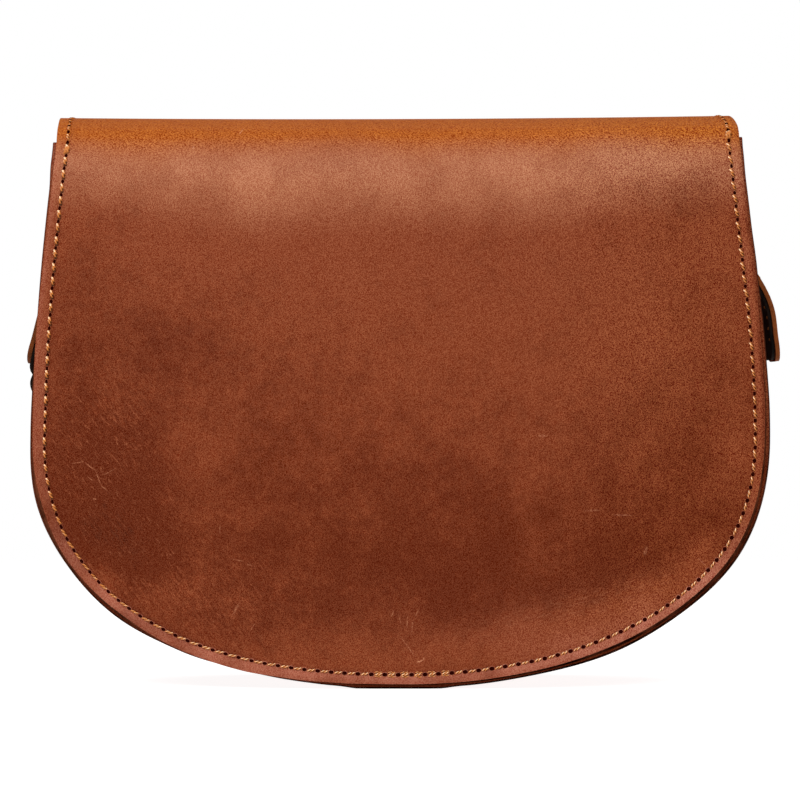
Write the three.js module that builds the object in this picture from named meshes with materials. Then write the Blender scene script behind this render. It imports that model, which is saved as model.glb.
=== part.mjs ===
// Saddle handbag in thick brown leather: one panel is the back, rolls over the top and hangs down the front
// as the flap. A U-shaped gusset joins it to the front panel, with its flanges turned outwards and sewn.
// Millimetres, +Z up. The back faces -Y, the flap faces +Y, and the origin is under the middle of the bag.

import * as THREE from "three";
import { ParametricGeometry } from "three/addons/geometries/ParametricGeometry.js";
import { mergeGeometries, mergeVertices } from "three/addons/utils/BufferGeometryUtils.js";

// The outline that back, front and flap share
const OUTLINE = {
  halfWidth: 124, // at the widest
  widestHeight: 84,
  roundness: 2.22, // exponent of the rounded lower end
  shoulderHalfWidth: 115.7,
  shoulderHeight: 184,
  lean: 1.6, // exponent of the sides as they draw in towards the shoulders
};
const PANEL_BOTTOM = 0.6; // lower cut edge of back and front, just clear of the ground
const FRONT_TOP = 176;
const FLAP_BOTTOM = 24;

// Leather, and the small gap that sewn layers keep
const PANEL_THICK = 2;
const GUSSET_THICK = 1.6;
const TAB_THICK = 1.5;
const BACKING_THICK = 2;
const GAP = 0.3;

// Where the layers stand in depth, at their mid-surfaces
const BACK_DEPTH = -30.7;
const FLAP_DEPTH = 30.7;
const FRONT_DEPTH = 25;

// The bend over the top, read up the back: a slow lean, a tight shoulder, then a wide crown
const BEND = {
  leanStart: 168,
  leanRadius: 50,
  shoulderRadius: 9,
  crownAngle: THREE.MathUtils.degToRad(66),
};

// Soft form of the flat leather: panels belly out inside the seam
const BELLY = { back: 2.6, front: 1.2, flap: 1.4, reach: 45, fadeBelowTop: 70 };
const SEAM_INSET = 4;

// How far the sewn border turns out towards the viewer, round the back from left shoulder to right shoulder
const BACK_FLARE = [
  { place: 0, degrees: 4 },
  { place: 0.16, degrees: 6 },
  { place: 0.32, degrees: 24 },
  { place: 0.42, degrees: 8 },
  { place: 0.52, degrees: 7 },
  { place: 0.64, degrees: 22 },
  { place: 0.74, degrees: 26 },
  { place: 0.82, degrees: 12 },
  { place: 0.9, degrees: 6 },
  { place: 1, degrees: 4 },
];
const FRONT_FLARE = [
  { place: 0, degrees: 5 },
  { place: 0.5, degrees: 10 },
  { place: 1, degrees: 5 },
];

// How far the gusset's cut edge shows past the panel's, round the outline as above. It reaches the ground
// at the lowest place, where the bag stands on it.
const BACK_PROUD = [
  { place: 0, reach: 0.6 },
  { place: 0.2, reach: 0.4 },
  { place: 0.32, reach: 1 },
  { place: 0.42, reach: 0.4 },
  { place: 0.47, reach: 1.2 },
  { place: 0.53, reach: 1.2 },
  { place: 0.62, reach: 1 },
  { place: 0.74, reach: 1.1 },
  { place: 0.84, reach: 1.1 },
  { place: 1, reach: 0.7 },
];
const FRONT_PROUD = [
  { place: 0, reach: 0.4 },
  { place: 0.4, reach: 0.6 },
  { place: 0.47, reach: 1.2 },
  { place: 0.53, reach: 1.2 },
  { place: 0.6, reach: 0.6 },
  { place: 1, reach: 0.4 },
];

// Half of the gusset's section: inset from the panel's edge, and how far it has left the flange's plane.
// The first row is the cut edge, which moves out by its reach past the panel.
const GUSSET_SECTION = [
  { inset: 0, rise: 0 },
  { inset: SEAM_INSET, rise: 0 },
  { inset: 6.5, rise: 0 },
  { inset: 8.2, rise: 0.8 },
  { inset: 9, rise: 2.6 },
  { inset: 11, rise: 15 },
];

// Rings of the panels: inset from the edge, then the share of the way from there to the middle of the top
const PANEL_RINGS = [
  { inset: 0, share: 0 },
  { inset: SEAM_INSET, share: 0 },
  { inset: 8, share: 0 },
  { inset: 14, share: 0 },
  { inset: 14, share: 0.12 },
  { inset: 14, share: 0.35 },
  { inset: 14, share: 0.7 },
  { inset: 14, share: 0.9 },
  { inset: 14, share: 0.96 },
  { inset: 14, share: 1 },
];
const GUSSET_SHORT = 0.003; // share of the outline that the gusset stops short of each shoulder
const OUTLINE_STEPS = 56;
const FLAP_STEPS = 44;
const ROLL_STEPS = 16;

// Strap tabs: two strips on each side, sewn flat on the gusset above and hanging away from it below.
// Each row says how far the inner strip's inside stands off the gusset at a height.
const TAB = { width: 20, depth: -2.9, endRadius: 2.5, acrossSteps: 4, alongSteps: 18, crowding: 0.8 };
const TAB_STANDOFF = [
  { height: 170, left: 0, right: 0 },
  { height: 157, left: 1, right: 0.4 },
  { height: 148, left: 3.4, right: 2.7 },
  { height: 137, left: 5.6, right: 9.3 },
  { height: 128, left: 7.4, right: 12.8 },
  { height: 118, left: 9.4, right: 13.5 },
  { height: 109.5, left: 11.7, right: 14.1 },
  { height: 104, left: 11.6 },
  { height: 99, left: 10.6 },
];
const TAB_LENGTH = { left: 62.1, right: 63.9 };
const BACKING_LENGTH = { left: 73.4, right: 63.7 };

// Hidden snap between flap and front
const SNAP = { radius: 9, height: 66, sides: 28 };

const COLOURS = {
  leather: { color: 0x8a4527, roughness: 0.5, metalness: 0 },
  darkLeather: { color: 0x1c110c, roughness: 0.65, metalness: 0 },
  steel: { color: 0x8f8a82, roughness: 0.35, metalness: 0.9 },
};

// Half-width of the outline at a height on the sides, above the widest place
function sideHalfWidth(height) {
  const { halfWidth, shoulderHalfWidth, widestHeight, shoulderHeight, lean } = OUTLINE;
  const climb = (height - widestHeight) / (shoulderHeight - widestHeight);
  return halfWidth - (halfWidth - shoulderHalfWidth) * Math.max(climb, 0) ** lean;
}

// One open outline in X and Z: down the left side, round the lower end and up the right side
class PanelOutline extends THREE.Curve {
  constructor(bottom, top) {
    super();
    this.bottom = bottom;
    this.top = top;
    this.middle = new THREE.Vector2(0, top);
    this.arcLengthDivisions = 800;
  }

  getPoint(t, target = new THREE.Vector2()) {
    const { halfWidth, widestHeight, roundness } = OUTLINE;
    const side = t < 0.5 ? -1 : 1;
    const climb = Math.abs(2 * t - 1) * 2; // 0 at the lowest place, 1 at the widest, 2 at the top
    if (climb > 1) {
      const height = THREE.MathUtils.lerp(widestHeight, this.top, climb - 1);
      return target.set(side * sideHalfWidth(height), height);
    }
    const angle = (climb * Math.PI) / 2;
    const across = Math.sin(angle) ** (2 / roundness);
    const drop = Math.cos(angle) ** (2 / roundness);
    return target.set(side * halfWidth * across, widestHeight - (widestHeight - this.bottom) * drop);
  }

  // The point that lies a distance inside the edge, on the way from a place there to the top's middle
  inset(place, distance) {
    const edge = this.getPointAt(place);
    const tangent = this.getTangentAt(place);
    const inward = new THREE.Vector2(-tangent.y, tangent.x);
    const toMiddle = this.middle.clone().sub(edge).normalize();
    return edge.addScaledVector(toMiddle, distance / inward.dot(toMiddle));
  }
}

const backOutline = new PanelOutline(PANEL_BOTTOM, OUTLINE.shoulderHeight);
const frontOutline = new PanelOutline(PANEL_BOTTOM, FRONT_TOP);
const flapOutline = new PanelOutline(FLAP_BOTTOM, OUTLINE.shoulderHeight);

// A table's value at a place between its rows, eased from row to row
function easedTable(rows, column, place) {
  const next = Math.max(1, rows.findIndex((row) => row.place >= place));
  const [from, to] = [rows[next - 1], rows[next]];
  const eased = THREE.MathUtils.smoothstep(place, from.place, to.place);
  return THREE.MathUtils.lerp(from[column], to[column], eased);
}

function flareAngle(rows, place) {
  return THREE.MathUtils.degToRad(easedTable(rows, "degrees", place));
}

// How far a sewn panel stands outwards of its plane: belly inside the seam, turned-out border outside it
function standOut(outline, belly, flare, point, inset) {
  const rise = THREE.MathUtils.smoothstep(inset, 0, BELLY.reach);
  const fade = THREE.MathUtils.smoothstep(outline.top - point.y, 0, BELLY.fadeBelowTop);
  return belly * rise * fade + Math.max(SEAM_INSET - inset, 0) * Math.tan(flare);
}

// How far back and flap lean inwards just below the shoulders
function leanIn(height) {
  const climb = Math.max(height - BEND.leanStart, 0);
  return BEND.leanRadius - Math.sqrt(BEND.leanRadius ** 2 - climb ** 2);
}

function backDepth(place, point, inset) {
  const flare = flareAngle(BACK_FLARE, place);
  return BACK_DEPTH + leanIn(point.y) - standOut(backOutline, BELLY.back, flare, point, inset);
}

function frontDepth(place, point, inset) {
  const flare = flareAngle(FRONT_FLARE, place);
  return FRONT_DEPTH + standOut(frontOutline, BELLY.front, flare, point, inset);
}

function flapDepth(place, point, inset) {
  return FLAP_DEPTH - leanIn(point.y) + standOut(flapOutline, BELLY.flap, 0, point, inset);
}

// A panel's surface: rings that follow the outline inwards and close on the middle of the top
function panelSurface(outline, depthAt, steps, facesBack) {
  const lastRing = PANEL_RINGS.length - 1;
  const surface = (u, v, target) => {
    const place = facesBack ? u : 1 - u;
    const ring = PANEL_RINGS[Math.round(v * lastRing)];
    const start = outline.inset(place, ring.inset);
    const toMiddle = start.distanceTo(outline.middle);
    const point = start.lerp(outline.middle, ring.share);
    const inset = ring.inset + ring.share * toMiddle;
    target.set(point.x, depthAt(place, point, inset), point.y);
  };
  return new ParametricGeometry(surface, steps, lastRing);
}

// The bend over the top in Y and Z: shoulder, crown and shoulder, all tangent arcs
function rollProfile() {
  const leanAngle = Math.asin((OUTLINE.shoulderHeight - BEND.leanStart) / BEND.leanRadius);
  const back = BACK_DEPTH + leanIn(OUTLINE.shoulderHeight);
  const shoulderY = back + BEND.shoulderRadius * Math.cos(leanAngle);
  const shoulderZ = OUTLINE.shoulderHeight - BEND.shoulderRadius * Math.sin(leanAngle);
  const crownStart = shoulderY - BEND.shoulderRadius * Math.cos(BEND.crownAngle);
  const crownRadius = -crownStart / Math.cos(BEND.crownAngle);
  const crownZ = shoulderZ + (BEND.shoulderRadius - crownRadius) * Math.sin(BEND.crownAngle);
  const backLean = Math.PI - leanAngle;
  const backCrown = Math.PI - BEND.crownAngle;
  const path = new THREE.Path();
  path.absarc(shoulderY, shoulderZ, BEND.shoulderRadius, backLean, backCrown, true);
  path.absarc(0, crownZ, crownRadius, backCrown, BEND.crownAngle, true);
  path.absarc(-shoulderY, shoulderZ, BEND.shoulderRadius, BEND.crownAngle, leanAngle, true);
  return path.getSpacedPoints(ROLL_STEPS);
}

// The panel's bend over the top, with the panels' rings carried straight across it
function rollSurface() {
  const profile = rollProfile();
  const lastRing = PANEL_RINGS.length - 1;
  const surface = (u, v, target) => {
    const column = Math.round(u * 2 * lastRing);
    const fromLeft = column <= lastRing;
    const ring = PANEL_RINGS[fromLeft ? column : 2 * lastRing - column];
    const across = backOutline.inset(fromLeft ? 0 : 1, ring.inset).lerp(backOutline.middle, ring.share);
    const { x: depth, y: height } = profile[Math.round(v * ROLL_STEPS)];
    target.set(across.x, depth, height);
  };
  return new ParametricGeometry(surface, 2 * lastRing, ROLL_STEPS);
}

// The gusset's surface, across from the back flange's cut edge to the front flange's
function gussetSurface() {
  const lastRow = 2 * GUSSET_SECTION.length - 1;
  const layers = (PANEL_THICK + GUSSET_THICK) / 2;
  const surface = (u, v, target) => {
    const row = Math.round(v * lastRow);
    const atBack = row < GUSSET_SECTION.length;
    const section = GUSSET_SECTION[atBack ? row : lastRow - row];
    const outline = atBack ? backOutline : frontOutline;
    const place = THREE.MathUtils.clamp(u, GUSSET_SHORT, 1 - GUSSET_SHORT);
    const flare = flareAngle(atBack ? BACK_FLARE : FRONT_FLARE, place);
    const behind = layers / Math.cos(flare) + GAP + section.rise;
    const proud = easedTable(atBack ? BACK_PROUD : FRONT_PROUD, "reach", place);
    const inset = section === GUSSET_SECTION[0] ? -proud : section.inset;
    const point = outline.inset(place, inset);
    const flat = Math.min(inset, SEAM_INSET);
    const depth = atBack ? backDepth(place, point, flat) + behind : frontDepth(place, point, flat) - behind;
    target.set(point.x, depth, point.y);
  };
  return new ParametricGeometry(surface, OUTLINE_STEPS, lastRow);
}

// The line that a pair of strips follows on one side, in X and Z, from its sewn end to its free end
function tabPath(sideName, side) {
  const webInset = GUSSET_SECTION[GUSSET_SECTION.length - 1].inset - GUSSET_THICK / 2;
  const rows = TAB_STANDOFF.filter((row) => sideName in row);
  const points = rows.map((row) => {
    const webFace = sideHalfWidth(row.height) - webInset;
    return new THREE.Vector2(side * (webFace + GAP + row[sideName]), row.height);
  });
  return new THREE.SplineCurve(points);
}

// A strip that follows the line at an offset, as far as its own length, with rounded corners at its free end
function stripSurface(path, side, offset, length) {
  const half = TAB.width / 2;
  const surface = (u, v, target) => {
    const along = length * v ** TAB.crowding;
    const share = Math.min(along / path.getLength(), 1);
    const point = path.getPointAt(share);
    const tangent = path.getTangentAt(share);
    const shortOf = Math.max(TAB.endRadius - (length - along), 0);
    const cut = TAB.endRadius - Math.sqrt(TAB.endRadius ** 2 - shortOf ** 2);
    const across = (u - 0.5) * 2 * (half - cut) * side;
    const outward = new THREE.Vector2(-tangent.y, tangent.x).multiplyScalar(side * offset);
    point.add(outward);
    target.set(point.x, TAB.depth + across, point.y);
  };
  return new ParametricGeometry(surface, TAB.acrossSteps, TAB.alongSteps);
}

// Shared vertices merged, and the triangles that close to nothing where rings meet left out
function joinedSkin(surfaces) {
  for (const surface of surfaces) {
    surface.deleteAttribute("normal");
    surface.deleteAttribute("uv");
  }
  const skin = mergeVertices(mergeGeometries(surfaces), 1e-3);
  const kept = [];
  for (let i = 0; i < skin.index.count; i += 3) {
    const [a, b, c] = skin.index.array.slice(i, i + 3);
    if (a !== b && b !== c && c !== a) kept.push(a, b, c);
  }
  skin.setIndex(kept);
  skin.computeVertexNormals();
  return skin;
}

// A leather wall: a skin carried half a thickness to each side, closed along its cut edges and flattened
// where it would pass below the ground
function leatherWall(surfaces, thickness) {
  const skin = joinedSkin(surfaces);
  const { position, normal } = skin.attributes;
  const faces = skin.index.array;
  const count = position.count;
  const corners = new Float32Array(count * 6);
  const point = new THREE.Vector3();
  const out = new THREE.Vector3();
  for (let i = 0; i < count; i += 1) {
    out.fromBufferAttribute(normal, i).multiplyScalar(thickness / 2);
    for (const face of [0, 1]) {
      point.fromBufferAttribute(position, i).addScaledVector(out, 1 - 2 * face);
      point.z = Math.max(point.z, 0);
      point.toArray(corners, (i + face * count) * 3);
    }
  }
  const index = [];
  const directed = new Set();
  for (let i = 0; i < faces.length; i += 3) {
    const [a, b, c] = faces.slice(i, i + 3);
    index.push(a, b, c, a + count, c + count, b + count);
    for (const [from, to] of [[a, b], [b, c], [c, a]]) directed.add(from * count + to);
  }
  for (const edge of directed) {
    const from = Math.floor(edge / count);
    const to = edge % count;
    if (directed.has(to * count + from)) continue;
    index.push(to, from, from + count, to, from + count, to + count);
  }
  const wall = new THREE.BufferGeometry();
  wall.setAttribute("position", new THREE.BufferAttribute(corners, 3));
  wall.setIndex(index);
  wall.computeVertexNormals();
  return wall;
}

const bag = new THREE.Group();

function addPiece(name, geometry, colour) {
  const piece = new THREE.Mesh(geometry, new THREE.MeshStandardMaterial(COLOURS[colour]));
  piece.name = name;
  bag.add(piece);
  return piece;
}

const backFlap = [
  panelSurface(backOutline, backDepth, OUTLINE_STEPS, true),
  rollSurface(),
  panelSurface(flapOutline, flapDepth, FLAP_STEPS, false),
];
addPiece("back_flap_panel", leatherWall(backFlap, PANEL_THICK), "leather");
const front = [panelSurface(frontOutline, frontDepth, OUTLINE_STEPS, false)];
addPiece("front_panel", leatherWall(front, PANEL_THICK), "leather");
addPiece("gusset", leatherWall([gussetSurface()], GUSSET_THICK), "leather");

for (const [sideName, side] of [["left", -1], ["right", 1]]) {
  const path = tabPath(sideName, side);
  const tabOffset = BACKING_THICK + GAP + TAB_THICK / 2;
  const tab = stripSurface(path, side, tabOffset, TAB_LENGTH[sideName]);
  const backing = stripSurface(path, side, BACKING_THICK / 2, BACKING_LENGTH[sideName]);
  addPiece(`strap_tab_${sideName}`, leatherWall([tab], TAB_THICK), "leather");
  addPiece(`tab_backing_${sideName}`, leatherWall([backing], BACKING_THICK), "darkLeather");
}

const snapFrom = FRONT_DEPTH + BELLY.front + PANEL_THICK / 2 + GAP;
const snapTo = FLAP_DEPTH + BELLY.flap - PANEL_THICK / 2 - GAP;
const snapDisc = new THREE.CylinderGeometry(SNAP.radius, SNAP.radius, snapTo - snapFrom, SNAP.sides);
addPiece("flap_snap", snapDisc, "steel").position.set(0, (snapFrom + snapTo) / 2, SNAP.height);

export default bag;
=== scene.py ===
import bpy
import numpy as np
from mathutils import Matrix


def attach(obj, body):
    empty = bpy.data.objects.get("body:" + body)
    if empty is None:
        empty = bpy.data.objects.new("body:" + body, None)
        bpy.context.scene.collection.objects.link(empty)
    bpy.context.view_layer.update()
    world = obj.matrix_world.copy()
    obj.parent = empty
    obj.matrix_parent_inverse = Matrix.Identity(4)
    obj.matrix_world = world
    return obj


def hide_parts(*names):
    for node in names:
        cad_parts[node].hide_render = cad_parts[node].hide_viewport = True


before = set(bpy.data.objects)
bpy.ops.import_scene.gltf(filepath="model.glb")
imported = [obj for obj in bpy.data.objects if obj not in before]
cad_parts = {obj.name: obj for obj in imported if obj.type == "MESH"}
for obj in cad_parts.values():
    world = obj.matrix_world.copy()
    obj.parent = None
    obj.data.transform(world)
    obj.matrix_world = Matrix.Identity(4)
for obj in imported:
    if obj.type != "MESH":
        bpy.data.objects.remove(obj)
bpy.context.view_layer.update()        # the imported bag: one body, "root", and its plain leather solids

mm = 0.001    # shapes are worked out in millimetres and written in metres

# outline that back, flap and front share
saddle = {
    "bottom": 0.6,              # lowest places of the back and of the flap
    "flapBottom": 24.0,
    "halfWidth": 124.0,
    "widestHeight": 84.0,
    "roundness": 2.22,          # exponent of the rounded lower end
    "shoulderHalfWidth": 115.7,
    "shoulderHeight": 184.0,
    "lean": 1.6,                # exponent of the sides as they draw in upwards
}


# small tools

def ease(t):
    # 3t^2 - 2t^3 between 0 and 1
    t = np.clip(t, 0, 1)
    return t * t * (3 - 2 * t)


def ramp(value, start, end):
    # eased from 0 at the start to 1 at the end
    return ease((value - start) / (end - start))


def bell(t):
    # e to the power of -t^2
    return np.exp(-t * t)


def rowsOf(names, lines):
    # a small table: each line becomes a dictionary with these names
    return [dict(zip(names.split(), line)) for line in lines]


def fromRows(rows, key, value, at):
    # a short table's value at any place, eased from row to row
    places = np.array([row[key] for row in rows])
    values = np.array([row[value] for row in rows], float)
    i = np.clip(np.searchsorted(places, at) - 1, 0, len(places) - 2)
    t = ease((at - places[i]) / (places[i + 1] - places[i]))
    return values[i] + (values[i + 1] - values[i]) * t


def runLength(line):
    # length from the start of a polyline to each of its points
    return np.concatenate([[0], np.cumsum(np.linalg.norm(np.diff(line, axis=0), axis=-1))])


def unit(v):
    # each vector divided by its length
    return v / np.maximum(np.linalg.norm(v, axis=-1, keepdims=True), 1e-9)


def gridFaces(index):
    # four corners of each cell of a grid of vertex numbers
    return np.stack([index[:-1, :-1], index[1:, :-1], index[1:, 1:], index[:-1, 1:]], -1).reshape(-1, 4)


def addMesh(name, points, faces, materials, smooth=True):
    # vertices in millimetres become a mesh in metres, with its place in the mesh
    mesh = bpy.data.meshes.new(name)
    mesh.from_pydata((np.asarray(points) * mm).tolist(), [], faces)
    mesh.polygons.foreach_set("use_smooth", np.full(len(mesh.polygons), smooth))
    for material in materials:
        mesh.materials.append(material)
    mesh.update()
    piece = bpy.data.objects.new(name, mesh)
    bpy.context.scene.collection.objects.link(piece)
    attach(piece, "root")
    return piece


def paint(piece, name, values):
    # one number for each vertex, read by the materials
    layer = piece.data.attributes.new(name, "FLOAT", "POINT")
    layer.data.foreach_set("value", np.asarray(values, np.float32).ravel())


def giveThickness(piece, thickness, edgeRound):
    # half a thickness to each side, the cut edge in the second material and its corners in the last
    wall = piece.modifiers.new("wall", "SOLIDIFY")
    wall.thickness = thickness * mm
    wall.offset = 0
    wall.use_even_offset = True
    wall.material_offset_rim = 1
    rounding = piece.modifiers.new("rounding", "BEVEL")
    rounding.width = edgeRound * mm
    rounding.segments = 3
    rounding.limit_method = "ANGLE"
    rounding.angle_limit = np.radians(50)
    rounding.material = len(piece.data.materials) - 1


# node helpers

def plug(tree, socket, value):
    # another node's output is linked, a plain value is set
    if isinstance(value, bpy.types.NodeSocket):
        tree.links.new(value, socket)
    else:
        socket.default_value = value


def feed(tree, node, **inputs):
    # inputs are named with their spaces left out
    for key, value in inputs.items():
        plug(tree, next(s for s in node.inputs if s.name.replace(" ", "") == key and s.enabled), value)


def addNode(tree, kind, settings=None, **inputs):
    # a node with its settings and its inputs
    node = tree.nodes.new(kind)
    for key, value in (settings or {}).items():
        setattr(node, key, value)
    feed(tree, node, **inputs)
    return node


def newMaterial(name):
    # a principled shader by itself, and the object's own coordinates for its patterns
    material = bpy.data.materials.new(name)
    material.use_nodes = True
    tree = material.node_tree
    tree.nodes.clear()
    shader = tree.nodes.new("ShaderNodeBsdfPrincipled")
    addNode(tree, "ShaderNodeOutputMaterial", Surface=shader.outputs["BSDF"])
    return material, tree, shader, addNode(tree, "ShaderNodeTexCoord").outputs["Object"]


def noise(tree, where, scale, detail=3.0, roughness=0.55, distortion=0.0):
    # soft cloudy pattern, scale cells to the metre
    node = addNode(tree, "ShaderNodeTexNoise", Vector=where, Scale=scale, Detail=detail,
                   Roughness=roughness, Distortion=distortion)
    return node.outputs["Fac"]


def calc(tree, operation, a, b=0.5):
    # one operation on two numbers
    node = addNode(tree, "ShaderNodeMath", {"operation": operation})
    plug(tree, node.inputs[0], a)
    plug(tree, node.inputs[1], b)
    return node.outputs[0]


def remap(tree, value, low, high, to=(0.0, 1.0)):
    # smooth step between two numbers as the value goes from low to high
    node = addNode(tree, "ShaderNodeMapRange", {"interpolation_type": "SMOOTHSTEP"}, Value=value,
                   FromMin=low, FromMax=high, ToMin=to[0], ToMax=to[1])
    return node.outputs["Result"]


def blendColour(tree, share, a, b, how="MIX"):
    # from a to b by the share
    a, b = (c if isinstance(c, bpy.types.NodeSocket) else (*c, 1) for c in (a, b))
    node = addNode(tree, "ShaderNodeMix", {"data_type": "RGBA", "blend_type": how}, Factor=share, A=a, B=b)
    return next(s for s in node.outputs if s.enabled)


def bumps(tree, height, strength, distance):
    # surface normals tilted by a pattern's heights
    node = addNode(tree, "ShaderNodeBump", Height=height, Strength=strength, Distance=distance)
    return node.outputs["Normal"]


def stretched(tree, where, turn, scale, at=(0.0, 0.0, 0.0)):
    # coordinates from a place, turned in the plane of the back and divided by a size in each direction
    node = addNode(tree, "ShaderNodeMapping", {"vector_type": "TEXTURE"}, Vector=where, Location=at,
                   Rotation=(0.0, -np.radians(turn), 0.0), Scale=scale)
    return node.outputs["Vector"]


def tilted(tree, where):
    # coordinates turned about all three axes, so that a pattern is as strong on every flat panel
    node = addNode(tree, "ShaderNodeMapping", {"vector_type": "POINT"}, Vector=where,
                   Rotation=(0.61, 0.43, 0.87))
    return node.outputs["Vector"]


def marks(tree, where, rows):
    # the strongest of many long narrow ellipses, each fading out from its middle
    strongest = None
    for row in rows:
        size = (row["half"] * mm, 1000.0, row["wide"] * mm)
        local = stretched(tree, where, row["turn"], size, (row["x"] * mm, 0.0, row["z"] * mm))
        away = addNode(tree, "ShaderNodeVectorMath", {"operation": "LENGTH"}, Vector=local).outputs["Value"]
        mark = remap(tree, away, 0.3, 1.0, (row["amount"], 0.0))
        strongest = mark if strongest is None else calc(tree, "MAXIMUM", strongest, mark)
    return strongest


def attribute(tree, name):
    # the number painted on each vertex under this name
    return addNode(tree, "ShaderNodeAttribute", {"attribute_name": name}).outputs["Fac"]


# brown waxed leather

brownLeatherLook = {
    "shadow": (0.004, 0.0015, 0.0008),  # in creases and under edges
    "deep": (0.112, 0.0141, 0.0013),
    "middle": (0.210, 0.0382, 0.0098),
    "worn": (0.309, 0.0720, 0.0270),
    "pulled": (0.362, 0.0735, 0.0020),  # orange where it is bent
    "bloom": (0.418, 0.1395, 0.0620),   # pale wax bloom, and the painted sheen of the lamps on the leaning shoulder
    "rubbed": (0.418, 0.1245, 0.0700),  # pinkish where the border is rubbed smooth
    "roughness": (0.42, 0.58),
    "gloss": (0.0, 0.26),               # in the grain's pits and on its tops
    "blotch": 0.2, "cloud": 0.40, "mottle": 0.28,   # share of each size of pattern in the tone
    # tones between which each colour comes in, from the middle tone
    "tones": {"deep": (-1.3, -0.5), "middle": (-0.42, 0.0), "worn": (0.0, 0.5), "pulled": (-0.5, 0.4)},
    "fineness": {"blotch": 17.0, "cloud": 75.0, "mottle": 330.0, "grain": 3100.0},
    "drawn": (1.6, 1.0, 0.9),           # how the grain is stretched where the leather is bent
    "streakTurn": -52.0, "streakSize": (0.0034, 1.0, 0.0008),
    "fibreTurn": 15.0, "fibreSize": (0.005, 1.0, 0.0009),
    "grainDark": (0.42, 0.0, 0.0),      # what the finest grain multiplies the colour by
    "grainLight": (1.62, 2.38, 2.7),
    "grain": 0.2, "grainHeight": 0.00035,   # strength of its relief, and height in metres
    "grainRange": (0.3, 0.7),           # of the grain's noise, from pits to tops
    "cloudRange": (0.30, 0.66),         # of the clouds' noise, where bloom with its painted sheen and rubbing vary
    "bloomRange": (0.6, 1.0), "rubRange": (0.5, 1.15),
}
# light scratches on the back: middle, half length and half width in mm, turned up from level in degrees
scratches = rowsOf("x z half wide turn amount", [
    (-107.7, 76.4, 2.6, 0.22, 10, 0.55),
    (-103.8, 75.2, 2.9, 0.26, -39, 0.60),
    (-100.9, 71.2, 3.2, 0.24, -68, 0.55),
    (-98.9, 67.8, 1.8, 0.22, -40, 0.50),
    (-97.3, 73.2, 3.0, 0.22, 28, 0.40),
    (-103.6, 71.0, 1.6, 0.26, -35, 0.45),
    (-102.2, 64.2, 0.8, 0.45, 0, 0.50),
    (-59.8, 54.1, 2.1, 0.22, 88, 0.45),
    (-53.9, 43.6, 2.6, 0.30, -12, 0.30),
    (-49.5, 41.9, 2.2, 0.26, -15, 0.30),
    (-54.6, 27.0, 3.4, 0.60, 62, 0.35),
    (-49.0, 21.0, 2.0, 0.30, 60, 0.40),
    (-1.9, 25.7, 1.6, 0.35, 70, 0.45),
    (0.5, 23.7, 2.2, 0.24, -75, 0.35),
    (3.0, 22.3, 3.3, 0.24, 86, 0.42),
    (4.7, 21.0, 3.4, 0.24, 84, 0.48),
    (6.3, 25.7, 1.3, 0.35, 60, 0.42),
    (3.2, 14.4, 6.2, 0.24, -54, 0.42),
    (7.3, 9.5, 1.6, 0.45, 20, 0.95),
    (8.5, 10.3, 0.8, 0.35, 80, 0.70),
    (101.9, 42.9, 2.3, 0.24, -45, 0.60),
    (65.0, 60.2, 3.6, 0.45, 2, 0.25),
    (75.2, 58.6, 4.3, 0.45, -2, 0.30),
    (48.5, 85.2, 2.1, 0.60, 0, 0.35),
    (83.0, 46.6, 2.1, 0.80, 75, 0.25),
    (-52.9, 188.3, 2.0, 0.35, 62, 0.50),
    (-69.0, 182.6, 0.8, 0.50, 80, 0.60),
])


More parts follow.
